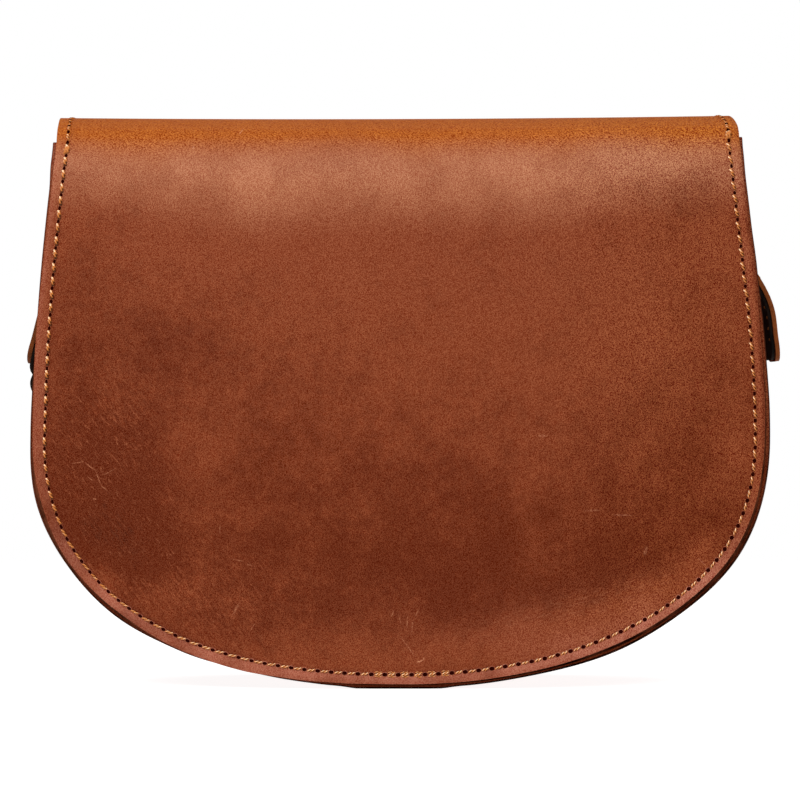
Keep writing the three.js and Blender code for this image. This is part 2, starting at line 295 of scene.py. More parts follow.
def makeBrownLeather(look):
    # tone is the painted tone, which holds painted shade and light as well, plus shares of three noises;
    # each wear and the painted sheen then blend their colours over that
    material, tree, shader, where = newMaterial("brown_leather")
    even = tilted(tree, where)
    fine = look["fineness"]
    blotch = noise(tree, even, fine["blotch"], 2.0, 0.55)
    cloud = noise(tree, even, fine["cloud"], 3.0, 0.6)
    mottle = noise(tree, even, fine["mottle"], 2.0, 0.6)
    # fine grain, drawn out sideways where the leather is bent over
    grain = noise(tree, even, fine["grain"], 1.0, 0.6)
    drawn = tilted(tree, stretched(tree, where, 0.0, look["drawn"]))
    drawn = calc(tree, "SUBTRACT", noise(tree, drawn, fine["grain"], 1.0, 0.6), grain)
    grain = calc(tree, "ADD", grain, calc(tree, "MULTIPLY", drawn, attribute(tree, "pull")))
    # slow tone of the leather: the painted tone with its painted shade and light, and blotches, clouds and
    # mottling added together
    tone = attribute(tree, "tone")
    for pattern, share in ((blotch, "blotch"), (cloud, "cloud"), (mottle, "mottle")):
        tone = calc(tree, "ADD", tone, calc(tree, "MULTIPLY", pattern, look[share]))
    # fine rub streaks that run down to the right, darker and paler than the leather
    streak = stretched(tree, where, look["streakTurn"], look["streakSize"])
    streak = noise(tree, streak, 1.0, 3.0, 0.65, 0.5)
    worked = calc(tree, "MULTIPLY", calc(tree, "SUBTRACT", streak, 0.5), attribute(tree, "streak"))
    tone = calc(tree, "ADD", tone, worked)
    centre = 0.5 * (look["blotch"] + look["cloud"] + look["mottle"])
    tones = {name: (centre + low, centre + high) for name, (low, high) in look["tones"].items()}
    colour = look["shadow"]
    for name in ("deep", "middle", "worn"):
        colour = blendColour(tree, remap(tree, tone, *tones[name]), colour, look[name])
    # orange where the leather is bent over, pale where wax has bloomed and where the sheen of the lamps is
    # painted, pink where it is rubbed
    evenness = remap(tree, tone, *tones["pulled"], (0.6, 1.0))
    pull = calc(tree, "MULTIPLY", attribute(tree, "pull"), evenness)
    colour = blendColour(tree, pull, colour, look["pulled"])
    for name, tint in (("bloom", "bloom"), ("rub", "rubbed")):
        uneven = remap(tree, cloud, *look["cloudRange"], look[name + "Range"])
        colour = blendColour(tree, calc(tree, "MULTIPLY", attribute(tree, name), uneven), colour, look[tint])
    # single scratches, waxed streaks, and pale fibres drawn out along the crease, which also paint the
    # highlight of the crease's ridge
    fibre = noise(tree, stretched(tree, where, look["fibreTurn"], look["fibreSize"]), 1.0, 2.0)
    for mark, name in (
            (marks(tree, where, scratches), "scuff"),
            (remap(tree, streak, 0.56, 0.76, (0.0, 0.3)), "streak"),
            (remap(tree, fibre, 0.45, 0.75, (0.0, 0.65)), "crease")):
        share = calc(tree, "MULTIPLY", mark, attribute(tree, name))
        colour = blendColour(tree, share, colour, look["bloom"])
    # dark specks keep their red, light ones turn paler, stronger where the leather is gritty
    low, high = look["grainRange"]
    speck = blendColour(tree, remap(tree, grain, low, high), look["grainDark"], look["grainLight"])
    colour = blendColour(tree, attribute(tree, "grit"), colour, speck, "MULTIPLY")
    gloss = calc(tree, "MULTIPLY", remap(tree, grain, low, high, look["gloss"]), attribute(tree, "shine"))
    # grain and mottling stand up from the surface
    relief = bumps(tree, calc(tree, "ADD", grain, mottle), look["grain"], look["grainHeight"])
    feed(tree, shader, BaseColor=colour, Roughness=remap(tree, grain, low, high, look["roughness"]),
         SpecularIORLevel=gloss, Normal=relief)
    return material


# dyed cut edges, worn through to brown between their darker corners; how dark they are holds dye and painted
# shade, and their corners are near-black with dye and with painted shade along the gaps between the layers
dyedEdgeLook = {"dark": (0.006, 0.0014, 0.0006), "brown": (0.20, 0.053, 0.023), "gloss": 0.0}
cornerDyeAndShadeLook = {"dark": (0.004, 0.001, 0.0005), "brown": (0.12, 0.032, 0.016), "gloss": 0.0}
tanEdgeLook = {"dark": (0.06, 0.014, 0.004), "brown": (0.37, 0.100, 0.022), "gloss": 0.05}


def makeCutEdge(name, look):
    # clouds and fibres less the painted dye and shade give the share of brown
    material, tree, shader, where = newMaterial(name)
    rub = noise(tree, where, 130.0, 4.0, 0.6)
    fibre = noise(tree, where, 1300.0, 3.0, 0.65)
    worn = calc(tree, "ADD", rub, calc(tree, "MULTIPLY", fibre, 0.6))
    share = remap(tree, calc(tree, "SUBTRACT", worn, attribute(tree, "dye")), -0.3, 0.9)
    feed(tree, shader, BaseColor=blendColour(tree, share, look["dark"], look["brown"]), Roughness=0.6,
         SpecularIORLevel=look["gloss"], Normal=bumps(tree, fibre, 0.5, 0.0002))
    return material


# black leather of the backing, its colours darkened with painted shade
darkLeatherLook = {
    "dark": (0.003, 0.0018, 0.0012), "brown": (0.014, 0.0065, 0.0035), "roughness": 0.8, "gloss": 0.08,
}


def makeDarkLeather(look):
    # near-black backing, black leather painted darker still with the shade between tab and gusset: a coarse
    # nap and clouds added together give the share of brown
    material, tree, shader, where = newMaterial("dark_leather")
    nap = noise(tree, where, 900.0, 4.0, 0.7)
    share = remap(tree, calc(tree, "ADD", nap, noise(tree, where, 120.0, 3.0)), 0.7, 1.3)
    feed(tree, shader, BaseColor=blendColour(tree, share, look["dark"], look["brown"]),
         Roughness=look["roughness"], SpecularIORLevel=look["gloss"], Normal=bumps(tree, nap, 0.6, 0.0003))
    return material


threadLook = {
    # shade and light are the thread's painted shade and painted highlight, gold its own colour
    "shade": (0.075, 0.018, 0.004), "gold": (0.55, 0.180, 0.040), "light": (1.0, 0.66, 0.39),
    "roughness": 0.5, "gloss": 0.12,
}


def makeThread(look):
    # waxed golden thread, with painted shade between its plies and where it goes down into a hole, and
    # painted highlight towards its upper ends
    material, tree, shader, where = newMaterial("thread")
    fibre = calc(tree, "SUBTRACT", noise(tree, where, 2600.0, 2.0), 0.5)
    share = calc(tree, "ADD", attribute(tree, "ply"), calc(tree, "MULTIPLY", fibre, 0.6))
    colour = blendColour(tree, remap(tree, share, 0.0, 0.5), look["shade"], look["gold"])
    colour = blendColour(tree, remap(tree, share, 0.62, 1.02), colour, look["light"])
    feed(tree, shader, BaseColor=colour, Roughness=look["roughness"], SpecularIORLevel=look["gloss"])
    return material


holeLook = {"deep": (0.011, 0.0007, 0.0003), "wall": (0.026, 0.0016, 0.0005)}


def makeHole(look):
    # shadow inside a needle hole, a noise between two near-blacks
    material, tree, shader, where = newMaterial("needle_hole")
    colour = blendColour(tree, noise(tree, where, 1500.0, 2.0), look["deep"], look["wall"])
    feed(tree, shader, BaseColor=colour, Roughness=0.95, SpecularIORLevel=0.0)
    return material


steelLook = {"dark": (0.30, 0.29, 0.27), "light": (0.55, 0.53, 0.50), "roughness": (0.28, 0.45)}


def makeSteel(look):
    # brushed steel of the hidden snap, a noise between two greys
    material, tree, shader, where = newMaterial("steel")
    brush = noise(tree, where, 700.0, 3.0)
    feed(tree, shader, BaseColor=blendColour(tree, brush, look["dark"], look["light"]), Metallic=1.0,
         Roughness=remap(tree, brush, 0.3, 0.7, look["roughness"]))
    return material


brownLeather = makeBrownLeather(brownLeatherLook)
dyedEdge = makeCutEdge("dyed_edge", dyedEdgeLook)
cornerDyeAndShade = makeCutEdge("corner_dye_and_shade", cornerDyeAndShadeLook)
tanEdge = makeCutEdge("tan_edge", tanEdgeLook)
darkLeather = makeDarkLeather(darkLeatherLook)
thread = makeThread(threadLook)
needleHole = makeHole(holeLook)
steel = makeSteel(steelLook)
print("materials ready")


# outlines and surfaces

def sideHalfWidth(height):
    # widest half-width less the draw-in, which grows as climb^lean
    climb = (height - saddle["widestHeight"]) / (saddle["shoulderHeight"] - saddle["widestHeight"])
    drawIn = saddle["halfWidth"] - saddle["shoulderHalfWidth"]
    return saddle["halfWidth"] - drawIn * np.maximum(climb, 0) ** saddle["lean"]


def saddleOutline(bottom, top, count, short=0.0):
    # down the left side, round |x/a|^n + |drop/b|^n = 1, up the right side, evenly spaced by arc length
    n, widest = saddle["roundness"], saddle["widestHeight"]
    t = np.linspace(0, 1, 8001)
    climb = np.abs(2 * t - 1) * 2
    angle = np.minimum(climb, 1) * np.pi / 2
    height = widest + (top - widest) * (climb - 1)
    x = np.where(climb > 1, sideHalfWidth(height), saddle["halfWidth"] * np.sin(angle) ** (2 / n))
    z = np.where(climb > 1, height, widest - (widest - bottom) * np.abs(np.cos(angle)) ** (2 / n))
    x = x * np.sign(t - 0.5)
    run = np.concatenate([[0], np.cumsum(np.hypot(np.diff(x), np.diff(z)))])
    place = np.linspace(short, 1 - short, count)
    fine = np.linspace(0, run[-1], 4001)
    fx, fz = np.interp(fine, run, x), np.interp(fine, run, z)
    tx, tz = np.gradient(fx, fine), np.gradient(fz, fine)
    edge = np.stack([np.interp(place * run[-1], run, v) for v in (x, z)], -1)
    tangent = unit(np.stack([np.interp(place * run[-1], fine, v) for v in (tx, tz)], -1))
    inward = np.stack([-tangent[:, 1], tangent[:, 0]], -1)
    middle = np.array([0.0, top])
    reach = unit(middle - edge)
    step = reach / np.sum(reach * inward, -1, keepdims=True)
    return {"place": place, "edge": edge, "step": step, "middle": middle, "top": top}


def insetPoints(outline, inset, share):
    # points a distance inside the edge, then a share of the way on to the middle of the top
    inset = np.broadcast_to(inset, (len(outline["edge"]), np.shape(inset)[-1]))
    start = outline["edge"][:, None] + outline["step"][:, None] * inset[..., None]
    rest = outline["middle"] - start
    points = start + rest * share[None, :, None]
    deep = inset + share[None, :] * np.linalg.norm(rest, axis=-1)
    return points[..., 0], points[..., 1], deep


def trimmed(outline, inset, rows):
    # the edge cut back by the table's trim, the seam moved in by its shift, both fading out further in
    trim, shift = (fromRows(rows, "place", key, outline["place"])[:, None] for key in ("trim", "seam"))
    border = np.clip(inset / seam["inset"], 0, 1)
    beyond = np.clip((seam["fade"] - inset) / (seam["fade"] - seam["inset"]), 0, 1)
    return inset + trim * (1 - border) + shift * border * beyond


# the leather layers, in mm
layers = {
    "backDepth": -30.7, "flapDepth": 30.7, "frontDepth": 25.0,
    "panel": 2.0, "gusset": 1.6, "tab": 1.5, "backing": 2.0, "gap": 0.3,
}
seam = {"inset": 4.2, "pitch": 4.5, "groove": 0.28, "grooveWidth": 0.9, "fade": 14.0}
bend = {"leanStart": 168.0, "leanRadius": 50.0, "shoulderRadius": 9.0, "crownAngle": np.radians(66),
        "crestShift": -1.6}
belly = {"back": 2.6, "front": 1.2, "flap": 1.4, "reach": 45.0, "fadeBelowTop": 70.0,
         "swellFromTop": 30.0, "swellFromSeam": 12.0}    # how far in the swells reach their full height

# the sewn border round the back, from left shoulder to right shoulder: how far it turns out in degrees,
# how far its edge is cut back and its seam moved in, how far the gusset's edge stands past it, and how
# dark both edges are, with dye and painted shade, darkest below
backBorder = rowsOf("place turn trim seam proud dye", [
    (0.000, 4, 0.40, 0.05, 1.00, -0.20),
    (0.010, 4, 0.70, 0.10, 0.78, -0.20),
    (0.030, 4, 0.95, 0.20, 0.08, -0.20),
    (0.070, 4, 0.85, 0.38, 0.03, -0.10),
    (0.120, 5, 0.45, 0.62, -0.10, 0.15),
    (0.180, 9, 0.75, 0.80, 0.25, 0.40),
    (0.230, 32, 0.80, 0.25, 0.52, 0.45),
    (0.265, 18, 0.30, -0.15, 0.70, 0.60),
    (0.315, 18, 0.20, -0.85, 1.35, 0.75),
    (0.360, 4, -0.30, -0.70, 0.92, 0.40),
    (0.400, 2, -0.20, -0.35, 0.20, 0.30),
    (0.430, 3, 0.45, -0.08, 0.26, 0.60),
    (0.460, 9, 0.72, 0.03, 0.33, 1.00),
    (0.485, 11, 0.95, 0.00, 1.20, 1.00),
    (0.515, 11, 0.90, -0.05, 1.20, 1.00),
    (0.540, 12, 0.95, 0.08, 0.36, 1.00),
    (0.580, 16, 1.15, 0.22, 0.12, 1.00),
    (0.640, 26, 1.22, 0.25, 0.57, 1.00),
    (0.680, 26, 1.22, -0.08, 0.32, 0.90),
    (0.740, 28, 0.55, -0.60, 1.05, 0.70),
    (0.790, 17, 1.00, -0.25, 0.88, 0.60),
    (0.835, 11, 0.35, -0.42, 1.20, 0.60),
    (0.870, 8, 0.50, -0.35, 0.95, 0.60),
    (0.920, 6, 0.60, 0.34, 0.36, 0.50),
    (0.950, 5, 1.10, 0.50, -0.05, 0.10),
    (0.975, 5, 1.05, 0.40, -0.08, 0.00),
    (1.000, 4, 0.65, 0.15, 0.48, 0.00),
])
frontBorder = rowsOf("place turn trim seam proud dye", [
    (0.00, 5, 0.0, 0.0, 0.4, 0.5),
    (0.40, 9, 0.0, 0.0, 0.6, 0.8),
    (0.48, 10, 0.0, 0.0, 1.2, 1.0),
    (0.52, 10, 0.0, 0.0, 1.2, 1.0),
    (0.60, 9, 0.0, 0.0, 0.6, 0.8),
    (1.00, 5, 0.0, 0.0, 0.4, 0.5),
])
# soft hollows and swells of the back: middle and size in mm, height outwards
backSwells = rowsOf("x z wide high turn out", [
    (66, 28, 44, 6, 17, -0.9),
    (60, 15, 40, 5, 17, 0.5),
    (-84, 60, 22, 34, 24, -0.9),
    (-40, 92, 34, 40, 10, 0.5),
    (30, 120, 60, 30, -8, 0.4),
    (92, 100, 18, 44, 6, -0.5),
])


def standOut(outline, z, deep, height, rows):
    # belly inside the seam, border turned out by its tangent, and the groove that the stitches pull
    rise = ease(deep / belly["reach"]) * ease((outline["top"] - z) / belly["fadeBelowTop"])
    turn = np.radians(fromRows(rows, "place", "turn", outline["place"])) if rows else 0.0
    turned = np.maximum(seam["inset"] - deep, 0) * np.tan(np.reshape(turn, (-1, 1)))
    groove = seam["groove"] * bell((deep - seam["inset"]) / seam["grooveWidth"])
    return height * rise + turned - groove


def swellSum(x, z, rows):
    # turned bells added together
    total = np.zeros_like(x)
    for row in rows:
        a = np.radians(row["turn"])
        u = (x - row["x"]) * np.cos(a) + (z - row["z"]) * np.sin(a)
        v = (z - row["z"]) * np.cos(a) - (x - row["x"]) * np.sin(a)
        total += row["out"] * bell(np.hypot(u / row["wide"], v / row["high"]))
    return total


def leanIn(z):
    # a circle's sagitta above the height where the lean starts
    climb = np.clip(z - bend["leanStart"], 0, bend["leanRadius"] * 0.9)    # stays inside the circle
    return bend["leanRadius"] - np.sqrt(bend["leanRadius"] ** 2 - climb ** 2)


def nominal(deep, moved, inset):
    # depth in as if the edge and seam had not been moved
    return deep - moved + inset


def backSurface(outline, inset, share):
    # the back's plane, leaning in above, less how far it stands out
    moved = trimmed(outline, inset, backBorder)
    x, z, deep = insetPoints(outline, moved, share)
    deep = nominal(deep, moved, inset)
    fade = ease((outline["top"] - z) / belly["swellFromTop"])
    fade = fade * ease((deep - seam["inset"]) / belly["swellFromSeam"])
    out = standOut(outline, z, deep, belly["back"], backBorder) + swellSum(x, z, backSwells) * fade
    return np.stack([x, layers["backDepth"] + leanIn(z) - out, z], -1), deep


def frontSurface(outline, inset, share):
    # the front's plane and how far it stands out
    moved = trimmed(outline, inset, frontBorder)
    x, z, deep = insetPoints(outline, moved, share)
    deep = nominal(deep, moved, inset)
    out = standOut(outline, z, deep, belly["front"], frontBorder)
    return np.stack([x, layers["frontDepth"] + out, z], -1), deep


def flapSurface(outline, inset, share):
    # the flap's plane, leaning in above, and how far it stands out
    x, z, deep = insetPoints(outline, inset, share)
    out = standOut(outline, z, deep, belly["flap"], None)
    return np.stack([x, layers["flapDepth"] - leanIn(z) + out, z], -1), deep


def rollProfile(count):
    # shoulder arc, crown arc and shoulder arc in depth and height, each tangent to the next
    lean = np.arcsin((saddle["shoulderHeight"] - bend["leanStart"]) / bend["leanRadius"])
    r, crown = bend["shoulderRadius"], bend["crownAngle"]
    start = layers["backDepth"] + leanIn(np.array(saddle["shoulderHeight"]))
    sy, sz = start + r * np.cos(lean), saddle["shoulderHeight"] - r * np.sin(lean)
    crownRadius = -(sy - r * np.cos(crown)) / np.cos(crown)
    cz = sz + (r - crownRadius) * np.sin(crown)
    a = np.linspace(lean, crown, count // 3 + 1)
    b = np.linspace(crown, np.pi - crown, count - 2 * (count // 3) + 1)[1:-1]
    first = np.stack([sy - r * np.cos(a), sz + r * np.sin(a)], -1)
    top = np.stack([-crownRadius * np.cos(b), cz + crownRadius * np.sin(b)], -1)
    return np.concatenate([first, top, (first * [-1, 1])[::-1]])


def rollShift(profile):
    # sideways shift that grows with the cube of the climb, from none at the shoulders to the crest's
    climb = profile[:, 1] - saddle["shoulderHeight"]
    return bend["crestShift"] * (climb / climb.max())[:, None] ** 3


print("shapes ready")

# back, roll and flap in one piece

backFlapPiece = {
    "columns": 300, "flapColumns": 220, "rollSteps": 33, "edgeRound": 0.45, "flapDye": 0.5,
    "rollHalfWidth": 115.0, "sag": 0.75,    # how far the roll sinks at its middle
    "rollDeep": 60.0,                       # the most that the roll counts as inside its ends
}
farInside = 99.0    # depth in of a panel's middle, past every border


def ringTable():
    # distances in from the edge, close together over border and seam, then shares of the way to the middle
    border = np.array([0, 0.8, 1.6, 2.4, 3.1, 3.7, 4.2, 4.7, 5.3, 6, 7, 8.4, 10, 12, 14])
    share = np.linspace(0, 1, 50)[1:]
    inset = np.concatenate([border, np.full(len(share), border[-1])])
    return inset, np.concatenate([np.zeros(len(border)), share])


def panelIndex(columns, rings, start):
    # vertex numbers of a panel's columns and rings; the last ring is one shared vertex
    index = start + np.arange(columns * (rings - 1)).reshape(columns, rings - 1)
    pole = start + columns * (rings - 1)
    return index, pole


def panelFaces(index, pole, turned):
    # cells of the rings and the triangles that close on the shared vertex
    cells = gridFaces(index)
    fan = np.stack([index[:-1, -1], index[1:, -1], np.full(len(index) - 1, pole)], -1)
    if turned:
        cells, fan = cells[:, ::-1], fan[:, ::-1]
    return cells.tolist() + fan.tolist()


def makeBackFlap(opts):
    # rings of the back and of the flap, joined by the roll's profile carried across from edge to edge
    inset, share = ringTable()
    rings = len(inset)
    back = saddleOutline(saddle["bottom"], saddle["shoulderHeight"], opts["columns"])
    flap = saddleOutline(saddle["flapBottom"], saddle["shoulderHeight"], opts["flapColumns"])
    backPoints, backDeep = backSurface(back, inset, share)
    flapPoints, flapDeep = flapSurface(flap, inset, share)
    backIndex, backPole = panelIndex(opts["columns"], rings, 0)
    flapIndex, flapPole = panelIndex(opts["flapColumns"], rings, backPole + 1)
    shoulder = np.concatenate([backIndex[0], [backPole], backIndex[-1, ::-1]])
    farShoulder = np.concatenate([flapIndex[0], [flapPole], flapIndex[-1, ::-1]])
    acrossX = np.concatenate([backPoints[0, :, 0], backPoints[-1, -2::-1, 0]])
    profile = rollProfile(opts["rollSteps"])[1:-1]
    sag = opts["sag"] * np.sin(np.linspace(0, np.pi, len(profile) + 2))[1:-1, None]
    sag = sag * (1 - (acrossX / opts["rollHalfWidth"]) ** 2)
    rollX = acrossX + rollShift(profile)
    rollPoints = np.stack([rollX, np.broadcast_to(profile[:, :1], rollX.shape), profile[:, 1:] - sag], -1)
    rollIndex = flapPole + 1 + np.arange(rollX.size).reshape(rollX.shape)
    rollIndex = np.concatenate([shoulder[None], rollIndex, farShoulder[None]])
    points = np.concatenate([
        backPoints[:, :-1].reshape(-1, 3), backPoints[:1, -1],
        flapPoints[:, :-1].reshape(-1, 3), flapPoints[:1, -1], rollPoints.reshape(-1, 3)])
    faces = panelFaces(backIndex, backPole, False) + panelFaces(flapIndex, flapPole, True)
    faces += gridFaces(rollIndex)[:, ::-1].tolist()
    piece = addMesh("back_flap", points, faces, [brownLeather, dyedEdge, cornerDyeAndShade])
    rollDeep = np.minimum(opts["rollHalfWidth"] - np.abs(acrossX), opts["rollDeep"])
    deep = np.concatenate([backDeep[:, :-1].ravel(), [farInside], flapDeep[:, :-1].ravel(), [farInside],
                           np.tile(rollDeep, len(profile))])
    dye = np.repeat(fromRows(backBorder, "place", "dye", back["place"]), rings - 1)
    dye = np.concatenate([dye, np.full(len(points) - len(dye), opts["flapDye"])])
    paintLeather(piece, points, deep, dye)
    giveThickness(piece, layers["panel"], opts["edgeRound"])
    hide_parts("back_flap_panel")
    return piece


# where the leather is darker or paler, partly its own tone and partly painted shade and light, darker
# towards the sides and lower down, paler under the crease's ridge; middle and size in mm on the back
toneSpots = rowsOf("x z wide high amount", [
    (-112, 95, 34, 60, -0.24),
    (-95, 52, 26, 22, -0.16),
    (-70, 118, 20, 12, -0.16),
    (-55, 82, 46, 36, -0.11),
    (-62, 82, 9, 11, 0.18),
    (-88, 91, 9, 8, -0.10),
    (-101, 82, 9, 7, -0.10),
    (-93, 53, 16, 9, -0.22),
    (-88, 41, 9, 8, -0.16),
    (-70, 59, 16, 9, 0.15),
    (-44, 84, 9, 6, -0.08),
    (-33, 110, 22, 10, -0.03),
    (112, 100, 34, 70, -0.10),
    (101, 130, 9, 12, -0.10),
    (115, 78, 8, 10, 0.12),
    (25, 70, 70, 17, -0.06),
    (66, 85, 15, 11, -0.07),
    (10, 45, 80, 26, -0.15),
    (30, 34, 40, 14, -0.08),
    (47, 48, 12, 9, 0.09),
    (70, 47, 34, 14, -0.08),
    (78, 16, 44, 13, 0.43),
    (86, 30, 13, 8, 0.32),
    (101, 42, 10, 14, 0.20),
    (-102, 35, 10, 10, 0.34),
    (-74, 30, 12, 12, 0.16),
    (-33, 22, 8, 12, -0.06),
    (-20, 8, 70, 9, 0.12),
    (96, 165, 18, 11, -0.17),
    (-10, 172, 8, 10, -0.10),
    (20, 100, 95, 40, -0.08),
])
streakSpots = rowsOf("x z wide high amount", [
    (-100, 78, 20, 30, 1.0),
    (-82, 40, 26, 18, 0.60),
    (-50, 26, 26, 16, 0.45),
])
# where the pale fibres along the crease are painted, with the painted highlight of its ridge
creases = [{"x": 60, "z": 28, "wide": 36, "high": 5, "turn": 15, "out": 0.35}]
# how much the sewn border is rubbed: below all round, up the sides, and more at some corners; and the
# painted shade along its right edge
borderRub = {
    "below": 0.62, "side": 0.05, "sideTone": 0.18, "sideHeights": (20.0, 68.0),
    "depths": (3.0, 4.2),                       # where it ends, in mm from the edge
    "rim": 0.7, "rimDepth": 2.5,                # share of it at the very edge
    "upper": (60.0, 90.0), "outer": (60.0, 80.0),      # heights and half widths of the lines below
    "leftLine": 0.30, "leftDepth": 0.9, "leftWidth": 0.8,
    "rightShade": 0.38, "rightDepths": (0.6, 2.2),
}
rubSpots = rowsOf("x z wide high amount", [
    (97, 27, 28, 22, 0.30),
    (-97, 27, 22, 18, 0.14),
    (-120, 76, 16, 34, 0.20),
])
# rubbed pink inside the seam as well
palmSpots = [{"x": 70, "z": 16, "wide": 36, "high": 8, "amount": 0.14}]


def spotSum(rows, x, z):
    # bells added together
    away = [np.hypot((x - row["x"]) / row["wide"], (z - row["z"]) / row["high"]) for row in rows]
    return sum(row["amount"] * bell(far) for row, far in zip(rows, away))


def borderPaint(x, z, deep):
    # rubbed paler towards the seam, with a light line along the left edge, and painted shade along the right
    # edge
    opts = borderRub
    fade = ramp(z, *opts["sideHeights"])
    onBorder = 1 - ramp(deep, *opts["depths"])
    amount = opts["below"] + (opts["side"] - opts["below"]) * fade + spotSum(rubSpots, x, z)
    rub = amount * onBorder * (opts["rim"] + (1 - opts["rim"]) * ease(deep / opts["rimDepth"]))
    left, right = (ramp(z, *opts["upper"]) * ramp(way * x, *opts["outer"]) for way in (-1, 1))
    rub = np.maximum(rub, opts["leftLine"] * left * bell((deep - opts["leftDepth"]) / opts["leftWidth"]))
    tone = opts["sideTone"] * fade * onBorder
    return rub, tone - opts["rightShade"] * right * (1 - ramp(deep, *opts["rightDepths"]))


# wear, painted sheen and painted shade over the whole bag: pairs are where each starts and ends, in mm
wearSheenAndShade = {
    "waves": ((1.2, 17.0, 0.0), (0.8, 7.3, 1.0)),       # height, length and start of the bend line's waves
    "pull": (172.5, 187.5),                             # heights over which the leather turns orange
    # wax bloom and the painted sheen of the lamps under the shoulder, over these heights
    "bloom": (148.0, 172.0), "bloomEnd": (174.3, 187.3), "bloomBack": 0.88, "bloomFlap": 0.5,
    "endWaves": 0.4, "endRight": 1.2, "endRightOver": 50.0,
    # the bloom and its painted sheen start higher at the sides, to the right and at one place on the left
    "sides": 6.0, "sidesOver": (55.0, 115.0), "right": 3.5, "rightOver": (-25.0, 5.0),
    "left": 4.0, "leftAt": -82.0, "leftWidth": 26.0,
    "spotShare": 2.0, "leastBloom": 0.2,                # dark spots and painted shade take the bloom and its painted sheen away
    # painted shade in the seam's groove: how dark, how far inside the seam and how wide
    "groove": 0.2, "grooveAt": 0.2, "grooveWidth": 0.7,
    "low": 0.2, "lowHeights": (125.0, 15.0),            # darker towards the ground: partly painted shade of the light falling off, partly the leather's own darker dye
    "grit": 0.58, "gritRight": 0.34, "gritOver": (35.0, 90.0),
    "gritBloom": -0.13, "gritRub": -0.3, "gritPull": 0.15,
    "dull": 0.2, "dullHeights": (115.0, 40.0), "dullOver": (40.0, 100.0),
}


def paintLeather(piece, points, deep, dye, bent=True, extraShade=0.0):
    # bends are pulled orange, the zone under them blooms pale with painted sheen, borders are rubbed, spots
    # differ in tone and in painted shade and light, and painted shade lies in the seam's groove and lower
    # down
    x, y, z = points.T
    height = z + sum(tall * np.sin(x / length + start) for tall, length, start in wearSheenAndShade["waves"])
    pull = bent * ramp(height, *wearSheenAndShade["pull"])
    later = wearSheenAndShade["sides"] * ramp(np.abs(x), *wearSheenAndShade["sidesOver"]) + wearSheenAndShade["right"] * ramp(x, *wearSheenAndShade["rightOver"])
    later = later + wearSheenAndShade["left"] * bell((x - wearSheenAndShade["leftAt"]) / wearSheenAndShade["leftWidth"])
    ending = z + wearSheenAndShade["endWaves"] * (height - z) - wearSheenAndShade["endRight"] * ease(x / wearSheenAndShade["endRightOver"])
    bloom = bent * np.where(y < 0, wearSheenAndShade["bloomBack"], wearSheenAndShade["bloomFlap"])
    bloom = bloom * ramp(height - later, *wearSheenAndShade["bloom"]) * (1 - ramp(ending, *wearSheenAndShade["bloomEnd"]))
    # spots of the leather's own tone and of painted shade and light
    spots = spotSum(toneSpots, x, z)
    rub, borderTone = borderPaint(x, z, deep)
    for shade in (spots, borderTone):
        bloom = bloom * np.clip(1 + wearSheenAndShade["spotShare"] * shade, wearSheenAndShade["leastBloom"], 1)
    # painted shade in the seam's groove, just inside the stitches
    groove = wearSheenAndShade["groove"] * bell((deep - seam["inset"] - wearSheenAndShade["grooveAt"]) / wearSheenAndShade["grooveWidth"])
    # painted shade lower down and the spots' painted shade and light go into the tone
    tone = spots - wearSheenAndShade["low"] * ramp(z, *wearSheenAndShade["lowHeights"]) - groove + borderTone + extraShade
    grit = wearSheenAndShade["grit"] + wearSheenAndShade["gritRight"] * ramp(x, *wearSheenAndShade["gritOver"])
    grit = grit + wearSheenAndShade["gritBloom"] * bloom + wearSheenAndShade["gritRub"] * rub + wearSheenAndShade["gritPull"] * pull
    shine = 1 - wearSheenAndShade["dull"] * (ramp(z, *wearSheenAndShade["dullHeights"]) + ramp(x, *wearSheenAndShade["dullOver"]))
    onBack = bent * (y < 0)
    paint(piece, "pull", pull)
    paint(piece, "bloom", bloom)
    paint(piece, "rub", np.maximum(rub, onBack * spotSum(palmSpots, x, z)) * (1 - pull))
    paint(piece, "tone", tone)
    paint(piece, "scuff", onBack)
    paint(piece, "streak", onBack * spotSum(streakSpots, x, z))
    paint(piece, "crease", onBack * swellSum(x, z, creases))
    paint(piece, "grit", grit)
    paint(piece, "shine", shine)
    paint(piece, "dye", np.broadcast_to(dye, len(points)))


backFlap = makeBackFlap(backFlapPiece)
print("back and flap", len(backFlap.data.polygons), "faces")


# front panel under the flap

frontPiece = {"columns": 240, "top": 176.0, "edgeRound": 0.45, "middleDye": 0.5}


def makeFront(opts):
    # rings of the front's surface about the middle of its top
    inset, share = ringTable()
    outline = saddleOutline(saddle["bottom"], opts["top"], opts["columns"])
    points, deep = frontSurface(outline, inset, share)
    index, pole = panelIndex(opts["columns"], len(inset), 0)
    flat = np.concatenate([points[:, :-1].reshape(-1, 3), points[:1, -1]])
    materials = [brownLeather, dyedEdge, cornerDyeAndShade]
    piece = addMesh("front", flat, panelFaces(index, pole, True), materials)
    dye = np.repeat(fromRows(frontBorder, "place", "dye", outline["place"]), len(inset) - 1)
    deep = np.append(deep[:, :-1].ravel(), farInside)
    paintLeather(piece, flat, deep, np.append(dye, opts["middleDye"]), bent=False)
    giveThickness(piece, layers["panel"], opts["edgeRound"])
    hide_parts("front_panel")


makeFront(frontPiece)

# gusset: a channel carried round the outline, with its flanges turned outwards

gussetPiece = {
    "columns": 320, "edgeRound": 0.3, "short": 0.0005,
    "tip": {"left": 0.9, "right": 2.0},     # how far the flange ends rise past the shoulders
    "edgeTone": -0.35, "edgeHeights": (60.0, 95.0), "edgeInset": 3.0,   # painted shade on the flange next to the panel's edge, fading up the sides
    "depth": 20.0,                          # it has no rubbed border
}
